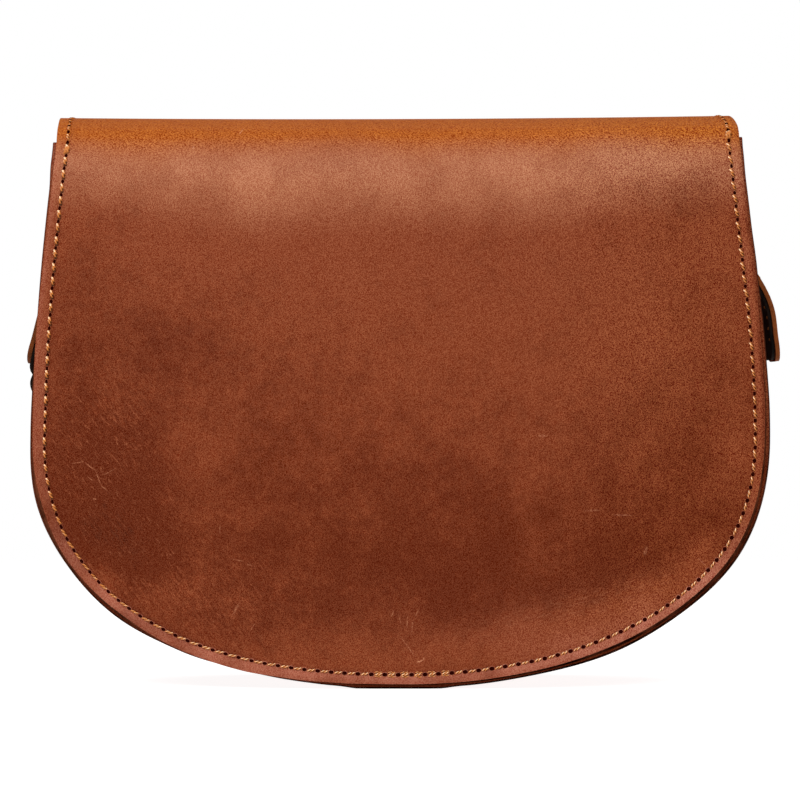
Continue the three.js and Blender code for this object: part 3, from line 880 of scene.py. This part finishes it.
# half its section: distance in from the panel's edge, and how far it has left the flange's plane
gussetSection = rowsOf("inset rise", [
    (0, 0), (0.4, 0), (2, 0), (4, 0), (5.6, 0), (6.8, 0.12),
    (7.8, 0.55), (8.5, 1.3), (8.9, 2.4), (9.3, 5), (10, 9), (10.6, 13),
    (11, 17), (11.1, 22),
])


def makeGusset(opts):
    # the half section carried round both outlines, behind each panel, and the halves joined half-way
    inset = np.array([row["inset"] for row in gussetSection], float)
    rise = np.array([row["rise"] for row in gussetSection], float)
    none = np.zeros(len(inset))
    halves, dyeAndShadeHalves = [], []
    for top, rows, level, way in (
            (saddle["shoulderHeight"], backBorder, layers["backDepth"], 1),
            (frontPiece["top"], frontBorder, layers["frontDepth"], -1)):
        outline = saddleOutline(saddle["bottom"], top, opts["columns"], opts["short"])
        x, z, deep = insetPoints(outline, inset, none)
        proud = fromRows(rows, "place", "proud", outline["place"])
        x[:, 0] -= outline["step"][:, 0] * proud
        z[:, 0] -= outline["step"][:, 1] * proud
        deep = np.concatenate([-proud[:, None], deep[:, 1:]], 1)
        turn = np.radians(fromRows(rows, "place", "turn", outline["place"]))[:, None]
        behind = (layers["panel"] + layers["gusset"]) / 2 / np.cos(turn) + layers["gap"] + rise
        turned = np.maximum(seam["inset"] - deep, 0) * np.tan(turn)
        lean = leanIn(z) if way > 0 else 0
        z = np.maximum(z, layers["gusset"] / 2 * np.sin(turn))
        halves.append(np.stack([x, level + lean + way * (behind - turned), z], -1))
        dyeAndShadeHalves.append(np.repeat(fromRows(rows, "place", "dye", outline["place"])[:, None], len(inset), 1))
    for column, sideName in ((0, "left"), (-1, "right")):
        halves[0][column, :, 2] += opts["tip"][sideName] * (1 - ease(rise / 2))
    # both halves meet half-way, so that the mouth slopes evenly from the back's height to the front's
    meet = 0.5 * ease(rise / rise[-1])[:, None] * [1, 0, 1]
    near, far = halves
    points = np.concatenate([near + (far - near) * meet, (far + (near - far) * meet)[:, ::-1]], 1)
    index = np.arange(points.shape[0] * points.shape[1]).reshape(points.shape[:2])
    materials = [brownLeather, dyedEdge, cornerDyeAndShade]
    piece = addMesh("gusset", points.reshape(-1, 3), gridFaces(index).tolist(), materials)
    # painted shade on the flange's outer strip, under and beside the panel's edge
    edgeTone = opts["edgeTone"] * (1 - ramp(points[..., 2], *opts["edgeHeights"]))
    edgeTone = edgeTone * (np.concatenate([inset, inset[::-1]]) < opts["edgeInset"])
    dye = np.concatenate(dyeAndShadeHalves, 1).ravel()
    paintLeather(piece, points.reshape(-1, 3), opts["depth"], dye, False, edgeTone.ravel())
    giveThickness(piece, layers["gusset"], opts["edgeRound"])
    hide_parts("gusset")


makeGusset(gussetPiece)
print("front and gusset")


# strap tabs and their backings

seamSides = np.array([-0.6, 0.0, 0.6])    # lines beside a seam, from which its normal is found
tabPiece = {
    "width": 20.0, "depth": -2.9, "endRadius": 6.0, "edgeRound": 0.4,
    "acrossSteps": 24, "alongSteps": 80, "crowding": 1.7,  # exponent that crowds steps at the free end
    "twist": {"left": 5.0, "right": 3.6}, "twistFrom": 15.0,   # turn of the free end, in degrees
    "settle": 1.0, "settleRun": 30.0,   # the strips lie closer to the gusset where they are sewn
    "stitchInset": 2.2, "stitchPitch": 3.7, "stitchStart": 3.0,
    "backingInset": 1.2, "backingReach": 0.36,      # of the stitches' short backs on the backing
    "depthIn": 20.0,            # the strips have no rubbed border
    "backingLook": 1.0,         # the backing's thickness at its skived edges
    # how dark the tabs' tan edges are, dye and painted shade, the left darker
    "dye": {"left": 0.65, "right": 0.45},
}
# how far the inner strip's inside stands off the gusset at each height
tabStandOff = [
    {"height": 170.0, "left": 0.0, "right": 0.0},
    {"height": 157.0, "left": 1.0, "right": 0.4},
    {"height": 148.0, "left": 3.4, "right": 2.7},
    {"height": 137.0, "left": 5.6, "right": 9.3},
    {"height": 128.0, "left": 8.0, "right": 12.8},
    {"height": 118.0, "left": 9.9, "right": 13.5},
    {"height": 109.5, "left": 11.7, "right": 14.1},
    {"height": 106.5, "left": 10.5},
    {"height": 103.0, "left": 11.4},
    {"height": 98.5, "left": 10.4},
]
tabLength = {"left": 62.9, "right": 64.4}
backingLength = {"left": 73.4, "right": 63.7}


def tabPath(sideName, side):
    # a smooth cubic through the rows, in width and height, and its run length
    rows = [row for row in tabStandOff if sideName in row]
    webInset = gussetSection[-1]["inset"] - layers["gusset"] / 2
    height = np.array([row["height"] for row in rows])
    off = np.array([row[sideName] for row in rows])
    x = side * (sideHalfWidth(height) - webInset + layers["gap"] + off)
    p = np.stack([x, height], -1)
    p = np.concatenate([[2 * p[0] - p[1]], p, [2 * p[-1] - p[-2]]])
    t = np.linspace(0, len(rows) - 1, 2000)
    i = np.minimum(t.astype(int), len(rows) - 2)
    f = (t - i)[:, None]
    a, b, c, d = p[i], p[i + 1], p[i + 2], p[i + 3]
    curve = 2 * b + (c - a) * f + (2 * a - 5 * b + 4 * c - d) * f ** 2 + (3 * b - a - 3 * c + d) * f ** 3
    return 0.5 * curve, runLength(0.5 * curve)


def stripPoints(sideName, side, offset, along, across):
    # the path moved out along its normal, carried across in depth, turned about its near edge at the end
    curve, run = tabPath(sideName, side)
    point = np.stack([np.interp(along, run, curve[:, k]) for k in (0, 1)], -1)
    tangent = unit(np.gradient(point, axis=0))
    offset = offset - tabPiece["settle"] * (1 - ease(along / tabPiece["settleRun"]))
    point = point + np.stack([-tangent[:, 1], tangent[:, 0]], -1) * (side * offset)[:, None]
    turn = np.tan(np.radians(tabPiece["twist"][sideName]))
    turn = turn * ramp(along, tabPiece["twistFrom"], tabLength[sideName])
    y = tabPiece["depth"] + across
    x = point[:, 0] - side * turn * (across + tabPiece["width"] / 2)
    return np.stack([x, y, np.broadcast_to(point[:, 1], y.shape)], -1)


def makeStrip(name, sideName, side, offset, length, thickness, materials, node):
    # a strip as wide as the tab, its free end's corners rounded
    along = length * (1 - np.linspace(1, 0, tabPiece["alongSteps"]) ** tabPiece["crowding"])
    short = np.maximum(tabPiece["endRadius"] - (length - along), 0)
    cut = tabPiece["endRadius"] - np.sqrt(tabPiece["endRadius"] ** 2 - short ** 2)
    across = np.linspace(-1, 1, tabPiece["acrossSteps"])[:, None] * (tabPiece["width"] / 2 - cut) * side
    grid = stripPoints(sideName, side, offset, along, across)
    index = np.arange(across.size).reshape(across.shape)
    flat = grid.reshape(-1, 3)
    piece = addMesh(name, flat, gridFaces(index).tolist(), materials)
    paintLeather(piece, flat, tabPiece["depthIn"], tabPiece["dye"][sideName], bent=False)
    giveThickness(piece, thickness, tabPiece["edgeRound"])
    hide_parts(node)


def stripSeam(sideName, side, offset, edge, inset, facing):
    # a line along one long edge of a strip's face
    along = np.linspace(tabPiece["stitchStart"], tabLength[sideName] - tabPiece["endRadius"], 200)
    sides = seamSides[:, None] + edge * (tabPiece["width"] / 2 - inset) + 0 * along
    lines = stripPoints(sideName, side, offset, along, sides).transpose(1, 0, 2)
    return seamFrame(lines, np.tile([side * facing, 0, 0], (len(along), 1)))


for sideName, side in (("left", -1), ("right", 1)):
    tabOffset = layers["backing"] + layers["gap"] + layers["tab"] / 2
    makeStrip(f"tab_{sideName}", sideName, side, tabOffset, tabLength[sideName], layers["tab"],
              [brownLeather, tanEdge], f"strap_tab_{sideName}")
    backingOffset = layers["backing"] - tabPiece["backingLook"] / 2
    makeStrip(f"backing_{sideName}", sideName, side, backingOffset, backingLength[sideName],
              tabPiece["backingLook"], [darkLeather, darkLeather],
              f"tab_backing_{sideName}")
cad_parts["flap_snap"].data.materials.clear()
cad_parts["flap_snap"].data.materials.append(steel)
print("tabs and snap")


# stitching

stitch = {
    "rings": 17, "sides": 8, "twist": 14.0, "plyDepth": 0.22, "dive": 0.55,
    "reach": 0.76,                                      # share of the pitch that each stitch spans
    "arch": 0.6,                                        # exponent of its rise between the holes
    "uneven": {"radius": 0.08, "slant": 0.07, "place": 0.02},
    "sideLight": 0.25,
    "holeDepth": 2.6, "holeDye": 0.5,                   # the hole's lip is painted as the border is
}
# how the stitches change along the back, as shares of its seam from left shoulder to right shoulder: half
# width, height and slant in mm, the hole's half length, half width and rise, how light, how much painted
# highlight towards the upper end and painted light and shade between the plies, and the share of the pitch
# that each spans
backStitchRows = rowsOf("share radius lift slant slit open rise bright climb ply reach", [
    (0.00, 0.56, 0.28, -0.18, 0.62, 0.46, 0.00, 0.42, 0.60, 0.24, 0.78),
    (0.19, 0.52, 0.28, -0.16, 0.68, 0.44, 0.00, 0.40, 0.65, 0.26, 0.77),
    (0.29, 0.38, 0.24, -0.16, 0.74, 0.46, 0.02, 0.46, -0.20, 0.34, 0.76),
    (0.40, 0.37, 0.22, -0.18, 0.74, 0.50, 0.02, 0.52, -0.20, 0.42, 0.74),
    (0.50, 0.39, 0.22, -0.18, 0.84, 0.62, 0.04, 0.50, 0.30, 0.42, 0.66),
    (0.72, 0.39, 0.22, -0.20, 0.72, 0.64, 0.16, 0.47, 0.30, 0.44, 0.68),
    (0.88, 0.46, 0.24, -0.34, 0.64, 0.46, 0.04, 0.40, 0.50, 0.36, 0.74),
    (1.00, 0.47, 0.26, -0.42, 0.64, 0.44, 0.00, 0.40, 0.50, 0.32, 0.76),
])


def alike(look):
    # the same stitch from one end of a seam to the other
    return [{"share": end, **look} for end in (0.0, 1.0)]


plainStitch = {
    "radius": 0.38, "lift": 0.24, "slant": -0.20, "slit": 0.76, "open": 0.46,
    "bright": 0.42, "climb": 0.4, "ply": 0.36,
}
# pulled down flat where the seam goes over the roll
rollStitch = {**plainStitch, "radius": 0.34, "lift": -0.04, "slit": 0.90, "open": 0.54, "bright": 0.18,
              "climb": 0.3}
shoulderStitch = {**plainStitch, "radius": 0.42, "lift": 0.16, "slit": 0.80, "open": 0.50, "bright": 0.40}
tabStitch = {**plainStitch, "radius": 0.34, "lift": 0.02, "slant": -0.18, "slit": 0.70, "open": 0.42}
tackStitch = {"radius": 0.55, "lift": 0.50, "slant": 0.10, "bright": 0.44, "climb": 0.15, "ply": 0.12}
joinStitch = {"radius": 0.25, "lift": 0.16, "slant": 0.05, "bright": 0.36, "climb": 0.4, "ply": 0.36}
# painted dark all over, for the shade between the tab and the gusset
backingStitch = {"radius": 0.27, "lift": 0.10, "slant": 0.0, "bright": 0.0, "climb": 0.2, "ply": 0.36}
flapStitchRows = [{"share": share, **look} for share, look in (
    (0.00, shoulderStitch), (0.02, rollStitch), (0.09, rollStitch), (0.14, plainStitch),
    (0.86, plainStitch), (0.91, rollStitch), (0.98, rollStitch), (1.00, shoulderStitch))]
# a needle hole from its foot to its middle: how far outside its rim, and how high
holeSection = rowsOf("outside high", [
    (0.46, -0.12), (0.26, 0.17), (0.06, 0.20), (-0.04, 0.10), (-0.34, 0.05),
])
shadowFrom = 2    # ring of the hole where the painted shadow starts


def sample(where, run, values):
    # vectors along a run at any lengths
    return np.stack([np.interp(where, run, values[:, k]) for k in range(3)], -1)


def tubeFaces(index):
    # cells between rings of vertex numbers, with the two end rings as caps
    wrapped = np.concatenate([index, index[:, :, :1]], -1)
    near, far = wrapped[:, :-1], wrapped[:, 1:]
    cells = np.stack([near[..., :-1], near[..., 1:], far[..., 1:], far[..., :-1]], -1)
    return cells.reshape(-1, 4).tolist() + index[:, 0, ::-1].tolist() + index[:, -1].tolist()


def seamAxes(line, outward):
    # run length, and at each point the directions out of the leather, along the seam and across it
    up, along = unit(outward), unit(np.gradient(line, axis=0))
    return runLength(line), up, along, unit(np.cross(along, up))


def makeStitches(name, line, outward, pitch, rows, seed=7, reach=stitch["reach"]):
    # each stitch is a tube on an arch between two holes, slanted across the line, twisted in two plies
    run, up, _, side = seamAxes(line, outward)
    count = max(int(round(run[-1] / pitch)), 1)
    jitter = np.random.default_rng(seed)
    k = np.arange(count)[:, None]
    look = {key: fromRows(rows, "share", key, (k + 0.5) / count) for key in rows[0] if key != "share"}
    uneven = stitch["uneven"]
    look["radius"] = look["radius"] * jitter.uniform(1 - uneven["radius"], 1 + uneven["radius"], (count, 1))
    look["slant"] = look["slant"] + jitter.normal(0, uneven["slant"], (count, 1))
    u = np.linspace(0, 1, stitch["rings"])
    reach = look.get("reach", reach)
    middle = k + 0.5 + jitter.normal(0, uneven["place"], (count, 1))
    where = (middle + reach * (u - 0.5)) * run[-1] / count
    arch = np.sin(np.pi * u) ** stitch["arch"]
    lift = -stitch["dive"] + (stitch["dive"] + look["lift"]) * arch
    sideHere, upHere = sample(where, run, side), sample(where, run, up)
    centre = sample(where, run, line) + upHere * lift[..., None]
    centre = centre + sideHere * (look["slant"] * 2 * (u - 0.5))[..., None]
    theta = np.linspace(0, 2 * np.pi, stitch["sides"], endpoint=False)
    ply = np.cos(2 * theta[None, :] - stitch["twist"] * u[:, None])
    radius = look["radius"][..., None] * (1 + stitch["plyDepth"] * ply[None])
    ring = sideHere[:, :, None] * np.cos(theta)[:, None] + upHere[:, :, None] * np.sin(theta)[:, None]
    points = centre[:, :, None] + ring * radius[..., None]
    index = np.arange(points[..., 0].size).reshape(points.shape[:3])
    piece = addMesh(name, points.reshape(-1, 3), tubeFaces(index), [thread])
    # painted light and shade: upper ends and upward, leftward sides painted bright, lower ends and right
    # sides painted dark, and the plies painted lighter and darker in turn
    climb = (centre[..., 2] - centre[..., 2].mean(1, keepdims=True)) / (0.5 * reach * pitch)
    sideLight = stitch["sideLight"] * (ring[..., 2] - ring[..., 0])
    light = look["bright"] + look["climb"] * climb
    paint(piece, "ply", light[..., None] + look["ply"][..., None] * ply[None] + sideLight)


def makeHoles(name, line, outward, pitch, rows):
    # a raised lip round a middle painted with shadow between each stitch and the next: ovals carried from
    # foot to middle
    run, up, along, side = seamAxes(line, outward)
    count = int(round(run[-1] / pitch))
    share = np.arange(count + 1) / count
    slit, opened = (fromRows(rows, "share", key, share)[:, None, None, None] for key in ("slit", "open"))
    base, n, t, s = (sample(share * run[-1], run, v)[:, None, None] for v in (line, up, along, side))
    outside = np.array([row["outside"] for row in holeSection])[:, None, None]
    high = np.array([row["high"] for row in holeSection])[:, None, None]
    if "rise" in rows[0]:
        high = high + fromRows(rows, "share", "rise", share)[:, None, None, None]
    theta = np.linspace(0, 2 * np.pi, stitch["sides"] + 2, endpoint=False)[:, None]
    points = base + t * (slit + outside) * np.cos(theta) + s * (opened + outside) * np.sin(theta) + n * high
    index = np.arange(points[..., 0].size).reshape(points.shape[:3])
    faces = [face[::-1] for face in tubeFaces(index)]
    piece = addMesh(name, points.reshape(-1, 3), faces, [brownLeather, needleHole])
    cells = np.tile(np.repeat(np.arange(len(holeSection) - 1), len(theta)), count + 1) >= shadowFrom
    dark = np.concatenate([cells, np.zeros(count + 1, bool), np.ones(count + 1, bool)])
    piece.data.polygons.foreach_set("material_index", dark.astype(np.int32))
    paintLeather(piece, points.reshape(-1, 3), stitch["holeDepth"], stitch["holeDye"])


def seamFrame(three, outwardHint):
    # a line mostly as high as the two beside it, with the surface normal from along x across
    along = unit(np.gradient(three[:, 1], axis=0))
    across = unit(three[:, 2] - three[:, 0])
    normal = unit(np.cross(along, across))
    flip = np.sign(np.sum(normal * outwardHint, -1, keepdims=True))
    line = 0.2 * three[:, 1] + 0.4 * (three[:, 0] + three[:, 2])
    return line, normal * np.where(flip == 0, 1, flip)


def backSeam():
    # down the back's left side, round and up
    outline = saddleOutline(saddle["bottom"], saddle["shoulderHeight"], 900)
    lines, _ = backSurface(outline, seam["inset"] + seamSides, np.zeros(3))
    return seamFrame(lines, np.tile([0, -1, 0], (len(lines), 1)))


def frontSeam():
    # the same round the front
    outline = saddleOutline(saddle["bottom"], frontPiece["top"], 900)
    lines, _ = frontSurface(outline, seam["inset"] + seamSides, np.zeros(3))
    return seamFrame(lines, np.tile([0, 1, 0], (len(lines), 1)))


def flapSeam():
    # from the right shoulder over the roll, round the flap and back over the roll to the left shoulder
    outline = saddleOutline(saddle["flapBottom"], saddle["shoulderHeight"], 800)
    profile = rollProfile(60)
    lines, _ = flapSurface(outline, seam["inset"] + seamSides, np.zeros(3))
    shift = rollShift(profile) + np.zeros(3)
    over = np.stack([lines[-1, :, 0] + shift, 0 * shift + profile[:, :1], 0 * shift + profile[:, 1:]], -1)
    back = np.stack([shift - lines[-1, :, 0], over[..., 1], over[..., 2]], -1)[::-1]
    lean = profile[:, 0] / 40    # upwards on the roll, leaning out to the front and the back
    top = np.stack([0 * lean, lean, 0 * lean + 1], -1)
    hint = np.concatenate([top[:-1], np.tile([0, 1, 0], (len(lines), 1)), top[::-1][1:]])
    return seamFrame(np.concatenate([over[:-1], lines[::-1], back[1:]]), hint)


def stretch(seamLine, start, end, aside):
    # part of a seam between two lengths along it, moved across
    line, normal = seamLine
    run, up, _, side = seamAxes(line, normal)
    where = np.linspace(start, end, 60)
    return sample(where, run, line) + aside * sample(where, run, side), sample(where, run, up)


onFace = layers["panel"] / 2
behindFlange = layers["panel"] / 2 + layers["gap"] + layers["gusset"]
back, front, flap = backSeam(), frontSeam(), flapSeam()
for name, (line, normal), rows in (
        ("back_stitches", back, backStitchRows), ("front_stitches", front, alike(plainStitch)),
        ("flap_stitches", flap, flapStitchRows)):
    makeStitches(name, line + normal * onFace, normal, seam["pitch"], rows)
    makeHoles(name + "_holes", line + normal * onFace, normal, seam["pitch"], rows)
for name, (line, normal) in (("back_flange_stitches", back), ("front_flange_stitches", front)):
    makeStitches(name, line - normal * behindFlange, -normal, seam["pitch"], alike(plainStitch))

# tacks at both shoulders, and the doubled stitches where the thread was joined at the lowest place
tack = {"length": 3.7, "reach": 0.8}
tacks = rowsOf("name seam start aside", [
    ("tack_left", back, 0.6, -0.35),
    ("tack_left_2", back, 0.9, 0.40),
    ("tack_right", flap, 0.2, -0.40),
    ("tack_right_2", flap, 0.5, 0.35),
])
for row in tacks:
    line, normal = stretch(row["seam"], row["start"], row["start"] + tack["length"], row["aside"])
    makeStitches(row["name"], line + normal * onFace, normal, tack["length"], alike(tackStitch),
                 reach=tack["reach"])
join = {"beforeMiddle": 11.0, "stitches": 6, "aside": 0.72, "reach": 0.85}
backRun = runLength(back[0])[-1]
backPitch = backRun / round(backRun / seam["pitch"])
joinStart = round((backRun / 2 - join["beforeMiddle"]) / backPitch) * backPitch
for name, way, seed in (("join_upper", 1, 3), ("join_lower", -1, 4)):
    joinEnd = joinStart + join["stitches"] * backPitch
    line, normal = stretch(back, joinStart, joinEnd, way * join["aside"])
    makeStitches(name, line + normal * onFace, normal, backPitch, alike(joinStitch), seed, join["reach"])

tabOuter = layers["backing"] + layers["gap"] + layers["tab"]
backingInner = layers["backing"] - tabPiece["backingLook"]
tabSeams = rowsOf("name offset edge inset facing", [
    ("tab_near", tabOuter, -1, tabPiece["stitchInset"], 1),
    ("tab_far", tabOuter, 1, tabPiece["stitchInset"], 1),
    ("backing_near", backingInner, -1, tabPiece["backingInset"], -1),
    ("backing_far", backingInner, 1, tabPiece["backingInset"], -1),
])
for sideName, side in (("left", -1), ("right", 1)):
    for row in tabSeams:
        line, normal = stripSeam(sideName, side, row["offset"], row["edge"], row["inset"], row["facing"])
        name = f"{row['name']}_stitches_{sideName}"
        if row["facing"] > 0:
            makeStitches(name, line, normal, tabPiece["stitchPitch"], alike(tabStitch))
            makeHoles(name + "_holes", line, normal, tabPiece["stitchPitch"], alike(tabStitch))
        else:
            makeStitches(name, line, normal, tabPiece["stitchPitch"], alike(backingStitch),
                         reach=tabPiece["backingReach"])
print("stitches")


# floor, light and camera

studio = {
    "distance": 1.0, "frameWidth": 0.2690, "height": 0.0973, "plane": -0.0317, "across": 0.0007,
    "turn": 1.0, "roll": -0.1,
    "floor": (0.42, 0.42, 0.42), "floorShade": 0.985, "floorGlow": 0.91,
    "floorRadius": 0.9, "floorFade": (0.3, 0.95),       # shares of the radius where it starts and ends
    "white": 1.0, "fill": 0.16,
}
softboxes = rowsOf("name at to size watts gloss", [
    ("key", (-0.12, -0.52, 0.56), (0, -0.03, 0.10), (0.9, 0.30), 4.8, True),
    ("overhead", (0.0, 0.02, 0.85), (0, 0, 0.1), (0.9, 0.5), 2.4, False),
    ("rear", (0.15, 0.60, 0.85), (0, 0.03, 0.08), (1.2, 0.6), 3.0, False),
])


def makeFloor(opts):
    # a pale disc that thins out into the white background with distance from the middle
    angle = np.linspace(0, 2 * np.pi, 96, endpoint=False)
    rim = opts["floorRadius"] * np.stack([np.cos(angle), np.sin(angle), 0 * angle], -1)
    mesh = bpy.data.meshes.new("floor")
    mesh.from_pydata(rim.tolist(), [], [list(range(len(rim)))])
    material, tree, shader, where = newMaterial("pale_floor")
    shaded = tuple(opts["floorShade"] * c for c in opts["floor"])
    away = addNode(tree, "ShaderNodeVectorMath", {"operation": "LENGTH"}, Vector=where).outputs["Value"]
    start, end = (opts["floorRadius"] * share for share in opts["floorFade"])
    feed(tree, shader, BaseColor=blendColour(tree, noise(tree, where, 3.0), opts["floor"], shaded),
         Roughness=0.8, SpecularIORLevel=0.1, EmissionColor=(1, 1, 1, 1), EmissionStrength=opts["floorGlow"],
         Alpha=remap(tree, away, start, end, (1.0, 0.0)))
    mesh.materials.append(material)
    floor = bpy.data.objects.new("floor", mesh)
    bpy.context.scene.collection.objects.link(floor)


def addStudio(opts):
    # soft lamps, and a world that is white behind the bag and a faint fill on it
    makeFloor(opts)
    for box in softboxes:
        light = bpy.data.lights.new(box["name"], "AREA")
        light.shape = "RECTANGLE"
        light.size, light.size_y = box["size"]
        light.energy = box["watts"]
        lamp = bpy.data.objects.new(box["name"], light)
        lamp.visible_glossy = box["gloss"]
        bpy.context.scene.collection.objects.link(lamp)
        aim(lamp, np.array(box["at"]), np.array(box["to"]))
    world = bpy.data.worlds.new("studio")
    world.use_nodes = True
    bpy.context.scene.world = world
    tree = world.node_tree
    tree.nodes.clear()
    rays = tree.nodes.new("ShaderNodeLightPath")
    strength = addNode(tree, "ShaderNodeMapRange", Value=rays.outputs["Is Camera Ray"],
                       ToMin=opts["fill"], ToMax=opts["white"])
    sky = addNode(tree, "ShaderNodeBackground", Color=(1, 1, 1, 1), Strength=strength.outputs["Result"])
    addNode(tree, "ShaderNodeOutputWorld", Surface=sky.outputs[0])
    bpy.context.scene.view_settings.view_transform = "Standard"


def aim(thing, at, to, roll=0.0):
    # columns of the turn are right, up and backwards, rolled about the last
    back = unit(at - to)
    right = unit(np.cross([0, 0, 1.0], back))
    up = np.cross(back, right)
    c, s = np.cos(np.radians(roll)), np.sin(np.radians(roll))
    turned = np.stack([right * c + up * s, up * c - right * s, back], -1)
    matrix = np.eye(4)
    matrix[:3, :3] = turned
    matrix[:3, 3] = at
    thing.matrix_world = Matrix(matrix.tolist())


def addCamera(opts):
    # straight at the back from a metre away, a touch from the right
    data = bpy.data.cameras.new("photo")
    data.sensor_width = 36.0
    data.lens = data.sensor_width * opts["distance"] / opts["frameWidth"]
    camera = bpy.data.objects.new("photo", data)
    bpy.context.scene.collection.objects.link(camera)
    turn = np.radians(opts["turn"])
    to = np.array([opts["across"], opts["plane"], opts["height"]])
    aim(camera, to + opts["distance"] * np.array([np.sin(turn), -np.cos(turn), 0]), to, opts["roll"])
    bpy.context.scene.camera = camera


addStudio(studio)
addCamera(studio)
print("studio ready")
